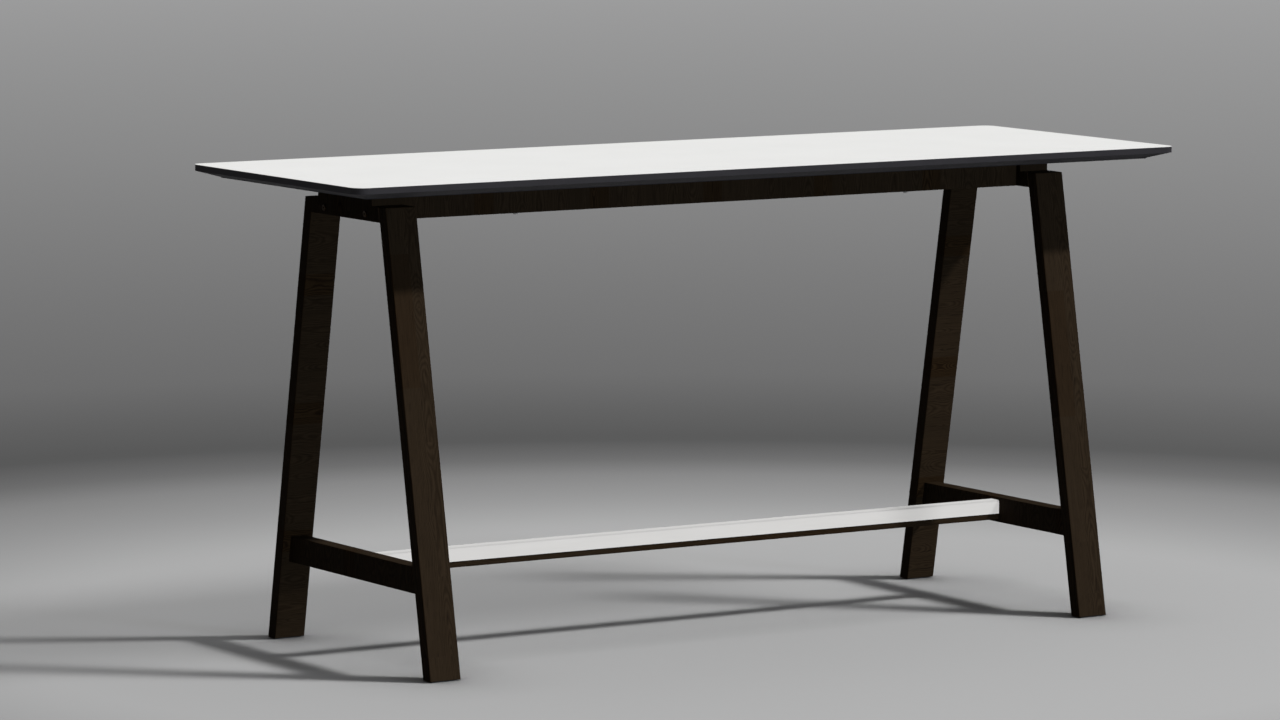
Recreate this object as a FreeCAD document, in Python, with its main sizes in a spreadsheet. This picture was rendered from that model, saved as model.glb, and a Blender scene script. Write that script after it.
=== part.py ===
import FreeCAD, Part
import math
import os
import Sketcher

# High table: a thin white top with an undercut dark edge, on two end frames of leaning flat legs.
# Two long rails tie the end frames under the top, and a beam with a folded white cap is the footrest.
# Millimetres, +Z up, +X along the table, origin on the floor below the middle of the top.

DIMENSIONS = (
    # the top
    ("table_height", 1000, "floor to the face of the top"),
    ("top_length", 2000, "the top, end to end"),
    ("top_width", 700, "the top, front to back"),
    ("corner_radius", 25, "corners of the top in plan"),
    ("laminate_thickness", 0.5, "white sheet on the face"),
    ("core_thickness", 25.5, "board between the two sheets"),
    ("backing_thickness", 1, "sheet on the underside"),
    ("edge_height", 12.5, "upright edge of the board, above its bevel"),
    ("bevel_inset", 45, "how far the bevel runs in under the top"),
    ("bevel_corner_radius", 4, "corners where the bevel meets the backing"),
    # the legs
    ("end_overhang", 167.5, "end of the top past the legs"),
    ("foot_setback", 8.5, "outer faces of the feet in from the long edges of the top"),
    ("head_spread", 335.5, "over the outer faces of a pair of legs at their heads"),
    ("leg_width", 71, "broad face of a leg"),
    ("leg_thickness", 30, "narrow face of a leg"),
    ("leg_drop", 33.5, "level head of a leg, below the underside of the top"),
    ("leg_easing", 2.5, "rounding of the long edges of a leg"),
    ("leg_end_bevel", 1.2, "bevelled edges of the foot and the head of a leg"),
    ("glide_thickness", 2, "pad under a foot"),
    ("glide_margin", 5, "bare rim of the foot round its pad"),
    ("glide_corner", 3, "cut corners of the pad"),
    # the rails
    ("apron_height", 65, "upper cross rails and long rails, bottom to top"),
    ("ledge_length", 25.2, "ledge of an upper cross rail, between a leg and the raised middle"),
    ("long_rail_margin", 15, "outer faces of the long rails in from the ends of the raised middle"),
    ("long_rail_thickness", 24, "a long rail, front to back"),
    ("lower_rail_bottom", 167, "floor to the lower cross rails"),
    ("lower_rail_height", 54.5, "a lower cross rail, bottom to top"),
    ("lower_rail_thickness", 35, "a lower cross rail, along the table"),
    ("rail_easing", 1.5, "rounding of the edges of the rails and the beam"),
    # the footrest
    ("beam_rise", 6.5, "underside of the footrest beam above that of the lower cross rails"),
    ("beam_height", 40.8, "footrest beam, bottom to top"),
    ("beam_width", 29, "footrest beam, front to back"),
    ("cap_sheet", 1.5, "sheet that the cap is folded from"),
    ("cap_wall", 29.5, "side of the cap, with its fold"),
    ("cap_bend", 3, "inside radius of the folds"),
    # loose tenons in the glued joints of the legs
    ("fit_gap", 0.1, "glue line round a tenon or dowel, and play round a nut, pin, cam or screw"),
    ("end_gap", 1, "room past the end of a piece in a blind bore"),
    ("tenon_thickness", 10, "a tenon, across its flats"),
    ("tenon_corner", 2, "cut edges of a tenon"),
    ("tenon_length", 40, "a tenon, end to end"),
    ("tenon_depth", 15, "part of a tenon that is in the leg"),
    ("upper_tenon_width", 40, "tenon at the head of a leg, along the table"),
    ("lower_tenon_width", 34, "tenon of a lower cross rail, along the leg"),
    # bolts, nuts and dowels that pull the long rails to the end frames
    ("bolt_size", 6, "shank of a bolt"),
    ("bolt_play", 0.5, "room round a bolt, screw or pin in a rail"),
    ("bolt_head", 13, "across the head"),
    ("bolt_head_height", 2.5, "head above its seat"),
    ("hex_key", 4, "across the flats of the socket"),
    ("hex_depth", 3, "depth of the socket"),
    ("rail_bolt_height", 14, "rail bolts above the lower edge of the rails"),
    ("bolt_end_inset", 1, "end of a rail bolt inside its nut"),
    ("nut_size", 10, "barrel nut across"),
    ("nut_length", 14, "barrel nut end to end"),
    ("nut_setback", 26, "barrel nut from the end of the long rail"),
    ("dowel_size", 8, "dowels of the long rails and the footrest"),
    ("dowel_length", 40, "dowels of the long rails and the footrest"),
    ("rail_dowel_height", 42, "long rail dowels above the lower edge of the rails"),
    # footrest fixings
    ("cam_size", 15, "cam across"),
    ("cam_cover", 2, "metal of a cam above its pin"),
    ("cam_setback", 24, "axis of a cam from the end of the beam"),
    ("cam_slot_width", 2, "driver slot of a cam"),
    ("cam_slot_depth", 2, "driver slot of a cam"),
    ("cam_pin_height", 13, "pin above the underside of the beam"),
    ("cam_pin_thread", 7, "pin, where it is screwed into the cross rail"),
    ("cam_pin_size", 6, "pin, where it is in the beam"),
    ("cam_pin_depth", 12, "pin into the cross rail"),
    ("cam_pin_past_axis", 3, "end of a pin past the axis of its cam"),
    ("footrest_dowel_drop", 10, "dowel below the top of the beam"),
    # screws that hold the top
    ("screw_size", 6, "shank of a screw"),
    ("screw_head", 10, "across the flats of the head"),
    ("screw_head_height", 3, "head below its seat"),
    ("screw_cover", 6, "board left above the end of a screw"),
    ("screw_setback", 280, "screws from the ends of a long rail"),
)

doc = FreeCAD.newDocument("high_table")
sizes = doc.addObject("Spreadsheet::Sheet", "sizes")
for row, (alias, amount, meaning) in enumerate(DIMENSIONS, start=1):
    sizes.set(f"A{row}", meaning)
    sizes.set(f"B{row}", str(amount))
    sizes.setAlias(f"B{row}", alias)
doc.recompute()

# Levels, from the face of the top down.
CORE_TOP = "(sizes.table_height - sizes.laminate_thickness)"
CORE_BOTTOM = f"({CORE_TOP} - sizes.core_thickness)"
UNDERSIDE = f"({CORE_BOTTOM} - sizes.backing_thickness)"
LEG_HEAD = f"({UNDERSIDE} - sizes.leg_drop)"
RAIL_BOTTOM = f"({UNDERSIDE} - sizes.apron_height)"
UPPER_JOINT = f"(({RAIL_BOTTOM} + {LEG_HEAD}) / 2)"
LEDGE = "(sizes.apron_height - sizes.leg_drop)"
LOWER_RAIL_TOP = "(sizes.lower_rail_bottom + sizes.lower_rail_height)"
LOWER_JOINT = "(sizes.lower_rail_bottom + sizes.lower_rail_height / 2)"
BEAM_BOTTOM = "(sizes.lower_rail_bottom + sizes.beam_rise)"

# Lean of the legs: how far they come in between foot and head, and the angle in degrees.
FOOT_OUTER = "(sizes.top_width / 2 - sizes.foot_setback)"
SLOPE = f"(({FOOT_OUTER} - sizes.head_spread / 2) / ({LEG_HEAD} - sizes.glide_thickness))"
LEAN = f"(atan({SLOPE}) / 1deg)"
LEG_LEVEL_THICKNESS = f"(sizes.leg_thickness / cos({LEAN}))"
FOOT_MIDDLE = f"({FOOT_OUTER} - {LEG_LEVEL_THICKNESS} / 2)"
FOOT_INNER = f"({FOOT_OUTER} - {LEG_LEVEL_THICKNESS})"
HEAD_INNER = f"(sizes.head_spread / 2 - {LEG_LEVEL_THICKNESS})"

# Places along and across the table.
FRAME_END = "(sizes.top_length / 2 - sizes.end_overhang)"
FRAME_MIDDLE = f"({FRAME_END} - sizes.leg_width / 2)"
LONG_RAIL_END = f"({FRAME_END} - sizes.leg_width)"
NUT_PLACE = f"({LONG_RAIL_END} - sizes.nut_setback)"
SCREW_PLACE = f"({LONG_RAIL_END} - sizes.screw_setback)"
SEAT = f"({HEAD_INNER} - sizes.ledge_length)"
LONG_RAIL_MIDDLE = f"({SEAT} - sizes.long_rail_margin - sizes.long_rail_thickness / 2)"
BEAM_END = f"({FRAME_MIDDLE} - sizes.lower_rail_thickness / 2)"
CAM_PLACE = f"({BEAM_END} - sizes.cam_setback)"
FOOTREST_DOWEL_HEIGHT = "(sizes.beam_height - sizes.footrest_dowel_drop)"

# Sizes of pieces and of the bores that take them.
BOLT_BORE = "(sizes.bolt_size + 2 * sizes.bolt_play)"
DOWEL_BORE = "(sizes.dowel_size + 2 * sizes.fit_gap)"
DOWEL_BORE_DEPTH = "(sizes.dowel_length / 2 + sizes.end_gap)"
CAM_HEIGHT = "(sizes.cam_pin_height + sizes.cam_pin_size / 2 + sizes.cam_cover)"
CAM_PIN_LENGTH = "(sizes.cam_pin_depth + sizes.cam_setback + sizes.cam_pin_past_axis)"
SCREW_BITE = "(sizes.backing_thickness + sizes.core_thickness - sizes.screw_cover)"
SCREW_BORE = "(sizes.screw_size + 2 * sizes.fit_gap)"
UPPER_TENON = ("sizes.upper_tenon_width", "sizes.tenon_thickness")
LOWER_TENON = ("sizes.tenon_thickness", "sizes.lower_tenon_width")

LEFT, RIGHT = -1, 1
FRONT, REAR = -1, 1
ALONG = (1, 0, 0)
ACROSS = (0, 1, 0)
UPRIGHT = (0, 0, 1)
HEX_SIDES = 6
SHANK_SIDES = 12
HEAD_SIDES = 24
CLOSE = 1e-6

subparts = []


def amount_of(expression):
    return float(sizes.evalExpression(expression))


def signed(sign, expression):
    return expression if sign > 0 else f"-({expression})"


def inner_face(height):
    """How far from the middle of the table the inner face of a leg is, at a height above the floor."""
    return f"({FOOT_INNER} - ({height} - sizes.glide_thickness) * {SLOPE})"


def along_leg(height):
    """Length of a leg's inner face from the foot up to a height above the floor."""
    return f"(({height} - sizes.glide_thickness) / cos({LEAN}))"


def new_body(label):
    body = doc.addObject("PartDesign::Body", label)
    body.Label = label
    return body


def origin_plane(body, role):
    return next(feature for feature in body.Origin.OriginFeatures if feature.Role == role)


def new_sketch(body, role, lift="0", shift="0", tilt="0"):
    """Sketch on a plane of the body: lifted off it, shifted up in it, tilted about its level line."""
    sketch = body.newObject("Sketcher::SketchObject", "sketch")
    sketch.AttachmentSupport = [(origin_plane(body, role), "")]
    sketch.MapMode = "FlatFace"
    if tilt != "0":
        turn = FreeCAD.Rotation(FreeCAD.Vector(*ALONG), amount_of(tilt))
        sketch.AttachmentOffset = FreeCAD.Placement(FreeCAD.Vector(), turn)
        sketch.setExpression("AttachmentOffset.Rotation.Angle", tilt)
    sketch.setExpression("AttachmentOffset.Base.z", lift)
    sketch.setExpression("AttachmentOffset.Base.y", shift)
    return sketch


def bind(sketch, constraint, expression):
    number = sketch.addConstraint(constraint)
    sketch.setExpression(f"Constraints[{number}]", expression)


def pin_point(sketch, item, point, x, y):
    for direction, distance in (("DistanceX", x), ("DistanceY", y)):
        bind(sketch, Sketcher.Constraint(direction, -1, 1, item, point, amount_of(distance)), distance)


def outline(sketch, corners):
    """Closed outline of straight lines through corners given as pairs of expressions."""
    spots = [FreeCAD.Vector(amount_of(x), amount_of(y), 0) for x, y in corners]
    count = len(spots)
    for number in range(count):
        sketch.addGeometry(Part.LineSegment(spots[number], spots[(number + 1) % count]))
    for number in range(count):
        sketch.addConstraint(Sketcher.Constraint("Coincident", number, 2, (number + 1) % count, 1))
        pin_point(sketch, number, 1, *corners[number])
    return sketch


def rectangle(sketch, length, low, high):
    """Rectangle that is centred on the upright axis."""
    half = f"({length} / 2)"
    return outline(sketch, ((f"-{half}", low), (half, low), (half, high), (f"-{half}", high)))


def regular_outline(sketch, corner_radius, count):
    """Outline with equal sides, one corner on the level axis."""
    corners = []
    for number in range(count):
        turn = f"({number} * 360 / {count})"
        corners.append((f"{corner_radius} * cos({turn})", f"{corner_radius} * sin({turn})"))
    return outline(sketch, corners)


def rounded_rectangle(sketch, length, width, radius):
    """Rectangle about the origin with four corner arcs, each tangent to its two sides."""
    reach_x = f"({length} / 2 - {radius})"
    reach_y = f"({width} / 2 - {radius})"
    corners = ((RIGHT, FRONT), (RIGHT, REAR), (LEFT, REAR), (LEFT, FRONT))
    quarter = math.pi / 2
    arcs = []
    for number, (side_x, side_y) in enumerate(corners):
        middle = FreeCAD.Vector(side_x * amount_of(reach_x), side_y * amount_of(reach_y), 0)
        circle = Part.Circle(middle, FreeCAD.Vector(*UPRIGHT), amount_of(radius))
        arcs.append(Part.ArcOfCircle(circle, (number - 1) * quarter, number * quarter))
    sketch.addGeometry(arcs)
    count = len(arcs)
    for number, arc in enumerate(arcs):
        sketch.addGeometry(Part.LineSegment(arc.EndPoint, arcs[(number + 1) % count].StartPoint))
    for number, (side_x, side_y) in enumerate(corners):
        sketch.addConstraint(Sketcher.Constraint("Tangent", number, 2, count + number, 1))
        sketch.addConstraint(Sketcher.Constraint("Tangent", count + number, 2, (number + 1) % count, 1))
        pin_point(sketch, number, 3, signed(side_x, reach_x), signed(side_y, reach_y))
        bind(sketch, Sketcher.Constraint("Radius", number, amount_of(radius)), radius)
    return sketch


def circles(sketch, diameter, centres):
    for number, (x, y) in enumerate(centres):
        middle = FreeCAD.Vector(amount_of(x), amount_of(y), 0)
        sketch.addGeometry(Part.Circle(middle, FreeCAD.Vector(*UPRIGHT), amount_of(diameter) / 2))
        pin_point(sketch, number, 3, x, y)
        bind(sketch, Sketcher.Constraint("Diameter", number, amount_of(diameter)), diameter)
    return sketch


def circle(sketch, diameter, height="0"):
    """One circle on the upright axis of the sketch."""
    return circles(sketch, diameter, (("0", height),))


def pad(body, sketch, length, both_ways=False):
    feature = body.newObject("PartDesign::Pad", "pad")
    feature.Profile = sketch
    if both_ways:
        feature.SideType = "Symmetric"
    feature.setExpression("Length", length)
    doc.recompute()
    return feature


def pocket(body, sketch, depth, reverse=False):
    """Cut that has to take wood or metal away: a cut that points out of the piece is an error."""
    before = body.Shape.Volume
    feature = body.newObject("PartDesign::Pocket", "pocket")
    feature.Profile = sketch
    feature.Reversed = reverse
    feature.setExpression("Length", depth)
    doc.recompute()
    if body.Shape.Volume >= before:
        raise RuntimeError(f"a cut in {body.Label} takes nothing away")
    return feature


def mirrored(body, feature, role):
    """The same cut at the other end of the piece."""
    before = body.Shape.Volume
    copy = body.newObject("PartDesign::Mirrored", "mirrored")
    copy.Originals = [feature]
    copy.MirrorPlane = (origin_plane(body, role), [""])
    body.Tip = copy
    doc.recompute()
    if body.Shape.Volume >= before:
        raise RuntimeError(f"a mirrored cut in {body.Label} takes nothing away")
    return copy


def edges_of(body):
    return {f"Edge{number}": edge for number, edge in enumerate(body.Tip.Shape.Edges, start=1)}


def edges_along(body, axis, level=None):
    """Names of the straight edges along an axis, either all of them or those at one level."""
    names = []
    for name, edge in edges_of(body).items():
        run = edge.lastVertex().Point - edge.firstVertex().Point
        aligned = run.cross(FreeCAD.Vector(*axis)).Length < CLOSE
        if aligned and (level is None or abs(edge.CenterOfMass.z - amount_of(level)) < CLOSE):
            names.append(name)
    return names


def ease(body, radius, names):
    """Rounds the named edges of the piece as it stands."""
    base = body.Tip
    feature = body.newObject("PartDesign::Fillet", "easing")
    feature.Base = (base, names)
    feature.setExpression("Radius", radius)
    doc.recompute()
    return feature


def bevel(body, size, names):
    """Cuts the named edges of the piece as it stands to a flat."""
    base = body.Tip
    feature = body.newObject("PartDesign::Chamfer", "bevel")
    feature.Base = (base, names)
    feature.setExpression("Size", size)
    doc.recompute()
    return feature


def place(thing, x="0", y="0", z="0", axis=UPRIGHT, angle="0"):
    """Puts a finished piece in the table, turned about one axis."""
    turn = FreeCAD.Rotation(FreeCAD.Vector(*axis), amount_of(angle))
    thing.Placement = FreeCAD.Placement(FreeCAD.Vector(), turn)
    for direction, distance in (("x", x), ("y", y), ("z", z)):
        thing.setExpression(f"Placement.Base.{direction}", distance)
    if amount_of(angle) % 180:
        thing.setExpression("Placement.Rotation.Angle", angle)


def half_turn(side):
    """The piece on the right or at the rear is the same piece turned the other way round."""
    return "180" if side > 0 else "0"


def keep(thing):
    subparts.append(thing)
    return thing


def group(label, model, places):
    """Equal small pieces: the model is made once, and each copy has a place of its own."""
    copies = []
    for number, where in enumerate(places, start=1):
        copy = doc.addObject("App::Link", f"{label}_{number}")
        copy.LinkedObject = model
        copy.LinkTransform = False
        place(copy, **where)
        copies.append(copy)
    bundle = doc.addObject("Part::Compound", label)
    bundle.Label = label
    bundle.Links = copies
    doc.recompute()
    return keep(bundle)


def screw_places():
    """Where the top is screwed down, along the table and across it: two places on each long rail."""
    return [
        (signed(side, SCREW_PLACE), signed(across, LONG_RAIL_MIDDLE))
        for side in (LEFT, RIGHT) for across in (FRONT, REAR)]


def top_outline(sketch):
    return rounded_rectangle(sketch, "sizes.top_length", "sizes.top_width", "sizes.corner_radius")


def bevel_outline(sketch):
    """Outline where the bevel ends and the flat underside begins."""
    length = "(sizes.top_length - 2 * sizes.bevel_inset)"
    width = "(sizes.top_width - 2 * sizes.bevel_inset)"
    return rounded_rectangle(sketch, length, width, "sizes.bevel_corner_radius")


def make_top_laminate():
    body = keep(new_body("top_laminate"))
    pad(body, top_outline(new_sketch(body, "XY_Plane", CORE_TOP)), "sizes.laminate_thickness")


def make_top_core():
    """Board with a short upright edge, then a long flat bevel that tapers it away below."""
    body = keep(new_body("top_core"))
    rim = top_outline(new_sketch(body, "XY_Plane", f"({CORE_TOP} - sizes.edge_height)"))
    pad(body, rim, "sizes.edge_height")
    taper = body.newObject("PartDesign::AdditiveLoft", "taper")
    taper.Profile = rim
    taper.Sections = [bevel_outline(new_sketch(body, "XY_Plane", CORE_BOTTOM))]
    taper.Ruled = True
    doc.recompute()
    bores = circles(new_sketch(body, "XY_Plane", CORE_BOTTOM), SCREW_BORE, screw_places())
    pocket(body, bores, f"({SCREW_BITE} - sizes.backing_thickness + sizes.end_gap)", reverse=True)


def make_top_backing():
    body = keep(new_body("top_backing"))
    pad(body, bevel_outline(new_sketch(body, "XY_Plane", UNDERSIDE)), "sizes.backing_thickness")
    bores = circles(new_sketch(body, "XY_Plane", UNDERSIDE), SCREW_BORE, screw_places())
    pocket(body, bores, "sizes.backing_thickness", reverse=True)


def mortise(sketch, tenon):
    """Outline of a mortise that takes a tenon with a glue line all round."""
    length, width = tenon
    half_width = f"({width} / 2 + sizes.fit_gap)"
    return rectangle(sketch, f"({length} + 2 * sizes.fit_gap)", f"-{half_width}", half_width)


def make_leg(label, side, across):
    """Straight flat board, cut level at foot and head, with mortises square to its inner face.

    It is drawn upright with its inner face on the XZ plane and its inner foot corner at the origin.
    """
    body = keep(new_body(label))
    inner_length = along_leg(LEG_HEAD)
    outer_face = signed(across, "sizes.leg_thickness")
    cut = f"(sizes.leg_thickness * {SLOPE})"
    board = outline(new_sketch(body, "YZ_Plane"), (
        ("0", "0"),
        ("0", inner_length),
        (outer_face, f"{inner_length} - {cut}"),
        (outer_face, f"-{cut}")))
    pad(body, board, "sizes.leg_width", both_ways=True)
    long_edges = edges_along(body, UPRIGHT)
    inner_head = FreeCAD.Vector(0, 0, amount_of(inner_length))
    end_edges = [
        name for name, edge in edges_of(body).items()
        if name not in long_edges and edge.CenterOfMass.distanceToPoint(inner_head) > CLOSE]
    bevel(body, "sizes.leg_end_bevel", end_edges)
    ease(body, "sizes.leg_easing", edges_along(body, UPRIGHT))
    for joint, tenon in ((UPPER_JOINT, UPPER_TENON), (LOWER_JOINT, LOWER_TENON)):
        sketch = mortise(new_sketch(body, "XZ_Plane", shift=along_leg(joint)), tenon)
        pocket(body, sketch, "(sizes.tenon_depth + sizes.end_gap)", reverse=across == FRONT)
    place(
        body, signed(side, FRAME_MIDDLE), signed(across, FOOT_INNER), "sizes.glide_thickness",
        ALONG, signed(across, LEAN))


def make_glide(label, side, across):
    """Thin pad under a foot, a little smaller than the foot, with cut corners."""
    body = keep(new_body(label))
    depth = f"({LEG_LEVEL_THICKNESS} / 2 - sizes.glide_margin)"
    sketch = rectangle(
        new_sketch(body, "XY_Plane"), "(sizes.leg_width - 2 * sizes.glide_margin)", f"-{depth}", depth)
    pad(body, sketch, "sizes.glide_thickness")
    bevel(body, "sizes.glide_corner", edges_along(body, UPRIGHT))
    place(body, signed(side, FRAME_MIDDLE), signed(across, FOOT_MIDDLE))


def end_mortises(body, joint, rail_level, tenon):
    """Mortises in both angled ends of a cross rail, square to the legs that it butts against."""
    sketch = new_sketch(body, "XZ_Plane", inner_face(joint), f"({joint} - {rail_level})", f"-{LEAN}")
    depth = "(sizes.tenon_length - sizes.tenon_depth + sizes.end_gap)"
    mirrored(body, pocket(body, mortise(sketch, tenon), depth), "XZ_Plane")


def make_upper_cross_rail(label, side):
    """Rail between the heads of two legs: its middle steps up to the top, and its ends are cut to the lean.

    It is drawn about its own middle, lower edge at zero, with its outer side to the left.
    """
    body = keep(new_body(label))
    foot = inner_face(RAIL_BOTTOM)
    profile = outline(new_sketch(body, "YZ_Plane"), (
        (f"-{foot}", "0"),
        (foot, "0"),
        (HEAD_INNER, LEDGE),
        (SEAT, LEDGE),
        (SEAT, "sizes.apron_height"),
        (f"-{SEAT}", "sizes.apron_height"),
        (f"-{SEAT}", LEDGE),
        (f"-{HEAD_INNER}", LEDGE)))
    pad(body, profile, "sizes.leg_width", both_ways=True)
    ease(body, "sizes.rail_easing", edges_along(body, ACROSS, "0"))
    end_mortises(body, UPPER_JOINT, RAIL_BOTTOM, UPPER_TENON)
    bores = (
        ("sizes.rail_bolt_height", BOLT_BORE, "sizes.leg_width"),
        ("sizes.rail_dowel_height", DOWEL_BORE, DOWEL_BORE_DEPTH))
    for height, diameter, depth in bores:
        centres = [(signed(across, LONG_RAIL_MIDDLE), height) for across in (FRONT, REAR)]
        pocket(body, circles(new_sketch(body, "YZ_Plane", "sizes.leg_width / 2"), diameter, centres), depth)
    place(body, x=signed(side, FRAME_MIDDLE), z=RAIL_BOTTOM, angle=half_turn(side))


def make_long_rail(label, across):
    """Rail along the table under the top, drawn about its own middle with its outer side to the front."""
    body = keep(new_body(label))
    section = rectangle(
        new_sketch(body, "YZ_Plane"), "sizes.long_rail_thickness", "0", "sizes.apron_height")
    pad(body, section, f"(2 * {LONG_RAIL_END})", both_ways=True)
    ease(body, "sizes.rail_easing", edges_along(body, ALONG, "0"))
    end_bores = (
        ("sizes.rail_bolt_height", BOLT_BORE, "sizes.nut_setback"),
        ("sizes.rail_dowel_height", DOWEL_BORE, DOWEL_BORE_DEPTH))
    for height, diameter, depth in end_bores:
        sketch = circle(new_sketch(body, "YZ_Plane", LONG_RAIL_END), diameter, height)
        mirrored(body, pocket(body, sketch, depth), "YZ_Plane")
    nuts = circles(
        new_sketch(body, "XZ_Plane", "-sizes.long_rail_thickness / 2"),
        "(sizes.nut_size + 2 * sizes.fit_gap)",
        [(signed(side, NUT_PLACE), "sizes.rail_bolt_height") for side in (LEFT, RIGHT)])
    pocket(body, nuts, "(sizes.long_rail_thickness / 2 + sizes.nut_length / 2)", reverse=True)
    screws = circles(
        new_sketch(body, "XY_Plane"), "(sizes.screw_size + 2 * sizes.bolt_play)",
        [(signed(side, SCREW_PLACE), "0") for side in (LEFT, RIGHT)])
    pocket(body, screws, "sizes.apron_height", reverse=True)
    place(body, y=signed(across, LONG_RAIL_MIDDLE), z=RAIL_BOTTOM, angle=half_turn(across))


def make_lower_cross_rail(label, side):
    """Rail between two legs near the floor, with ends cut to the lean; it carries one end of the footrest."""
    body = keep(new_body(label))
    foot = inner_face("sizes.lower_rail_bottom")
    shoulder = inner_face(LOWER_RAIL_TOP)
    profile = outline(new_sketch(body, "YZ_Plane"), (
        (f"-{foot}", "0"),
        (foot, "0"),
        (shoulder, "sizes.lower_rail_height"),
        (f"-{shoulder}", "sizes.lower_rail_height")))
    pad(body, profile, "sizes.lower_rail_thickness", both_ways=True)
    ease(body, "sizes.rail_easing", edges_along(body, ACROSS))
    end_mortises(body, LOWER_JOINT, "sizes.lower_rail_bottom", LOWER_TENON)
    pin_bore = "(sizes.cam_pin_thread + 2 * sizes.fit_gap)"
    bores = (
        ("sizes.cam_pin_height", pin_bore, "(sizes.cam_pin_depth + sizes.end_gap)"),
        (FOOTREST_DOWEL_HEIGHT, DOWEL_BORE, DOWEL_BORE_DEPTH))
    for height, diameter, depth in bores:
        sketch = new_sketch(body, "YZ_Plane", "sizes.lower_rail_thickness / 2")
        pocket(body, circle(sketch, diameter, f"(sizes.beam_rise + {height})"), depth)
    place(body, x=signed(side, FRAME_MIDDLE), z="sizes.lower_rail_bottom", angle=half_turn(side))


def make_footrest_beam():
    """Wooden beam between the lower cross rails, rounded above to fill the folds of its cap."""
    body = keep(new_body("footrest_beam"))
    section = rectangle(new_sketch(body, "YZ_Plane"), "sizes.beam_width", "0", "sizes.beam_height")
    pad(body, section, f"(2 * {BEAM_END})", both_ways=True)
    ease(body, "sizes.cap_bend", edges_along(body, ALONG, "sizes.beam_height"))
    ease(body, "sizes.rail_easing", edges_along(body, ALONG, "0"))
    pin_bore = "(sizes.cam_pin_size + 2 * sizes.bolt_play)"
    end_bores = (
        ("sizes.cam_pin_height", pin_bore, "sizes.cam_setback"),
        (FOOTREST_DOWEL_HEIGHT, DOWEL_BORE, DOWEL_BORE_DEPTH))
    for height, diameter, depth in end_bores:
        sketch = circle(new_sketch(body, "YZ_Plane", BEAM_END), diameter, height)
        mirrored(body, pocket(body, sketch, depth), "YZ_Plane")
    cams = circles(
        new_sketch(body, "XY_Plane"), "(sizes.cam_size + 2 * sizes.fit_gap)",
        [(signed(side, CAM_PLACE), "0") for side in (LEFT, RIGHT)])
    pocket(body, cams, CAM_HEIGHT, reverse=True)
    place(body, z=BEAM_BOTTOM)


def make_footrest_cap():
    """Sheet folded down over both sides of the beam, with round folds."""
    body = keep(new_body("footrest_cap"))
    section = rectangle(
        new_sketch(body, "YZ_Plane"), "(sizes.beam_width + 2 * sizes.cap_sheet)", "0", "sizes.cap_wall")
    pad(body, section, f"(2 * {BEAM_END})", both_ways=True)
    ease(body, "(sizes.cap_bend + sizes.cap_sheet)", edges_along(body, ALONG, "sizes.cap_wall"))
    folded = body.Tip
    end_or_below = (FreeCAD.Vector(1, 0, 0), FreeCAD.Vector(-1, 0, 0), FreeCAD.Vector(0, 0, -1))
    open_faces = []
    for number, face in enumerate(folded.Shape.Faces, start=1):
        if max(face.normalAt(0, 0).dot(way) for way in end_or_below) > 1 - CLOSE:
            open_faces.append(f"Face{number}")
    sheet = body.newObject("PartDesign::Thickness", "sheet")
    sheet.Base = (folded, open_faces)
    sheet.Reversed = True
    sheet.setExpression("Value", "sizes.cap_sheet")
    doc.recompute()
    if body.Shape.Volume >= folded.Shape.Volume:
        raise RuntimeError("the footrest cap isn't hollow")
    place(body, z=f"({BEAM_BOTTOM} + sizes.beam_height + sizes.cap_sheet - sizes.cap_wall)")


def hexagon(sketch, across_flats):
    return regular_outline(sketch, f"({across_flats} / 2 / cos(180 / {HEX_SIDES}))", HEX_SIDES)


def rail_bolt_model():
    """Connector bolt along +Z: a flat round head below zero with a hexagon socket, the shank above."""
    body = new_body("rail_bolt")
    head = new_sketch(body, "XY_Plane", "-sizes.bolt_head_height")
    pad(body, regular_outline(head, "(sizes.bolt_head / 2)", HEAD_SIDES), "sizes.bolt_head_height")
    shank = regular_outline(new_sketch(body, "XY_Plane"), "(sizes.bolt_size / 2)", SHANK_SIDES)
    length = "(sizes.leg_width + sizes.nut_setback + sizes.nut_size / 2 - sizes.bolt_end_inset)"
    pad(body, shank, length)
    socket = new_sketch(body, "XY_Plane", "-sizes.bolt_head_height")
    pocket(body, hexagon(socket, "sizes.hex_key"), "sizes.hex_depth", reverse=True)
    return body


def barrel_nut_model():
    """Cross nut along Z about its middle, bored along X."""
    body = new_body("barrel_nut")
    barrel = regular_outline(new_sketch(body, "XY_Plane"), "(sizes.nut_size / 2)", HEAD_SIDES)
    pad(body, barrel, "sizes.nut_length", both_ways=True)
    bore = new_sketch(body, "YZ_Plane", "sizes.nut_size / 2")
    regular_outline(bore, "(sizes.bolt_size / 2 + sizes.fit_gap)", SHANK_SIDES)
    pocket(body, bore, "sizes.nut_size")
    return body


def dowel_model():
    """Fluted dowel along +Z from zero."""
    body = new_body("dowel")
    section = regular_outline(new_sketch(body, "XY_Plane"), "(sizes.dowel_size / 2)", SHANK_SIDES)
    pad(body, section, "sizes.dowel_length")
    return body


def tenon_model(label, tenon):
    """Loose tenon along +Z from zero, with cut edges."""
    body = new_body(label)
    length, width = tenon
    section = rectangle(new_sketch(body, "XY_Plane"), length, f"-({width} / 2)", f"({width} / 2)")
    pad(body, section, "sizes.tenon_length")
    bevel(body, "sizes.tenon_corner", edges_along(body, UPRIGHT))
    return body


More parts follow.
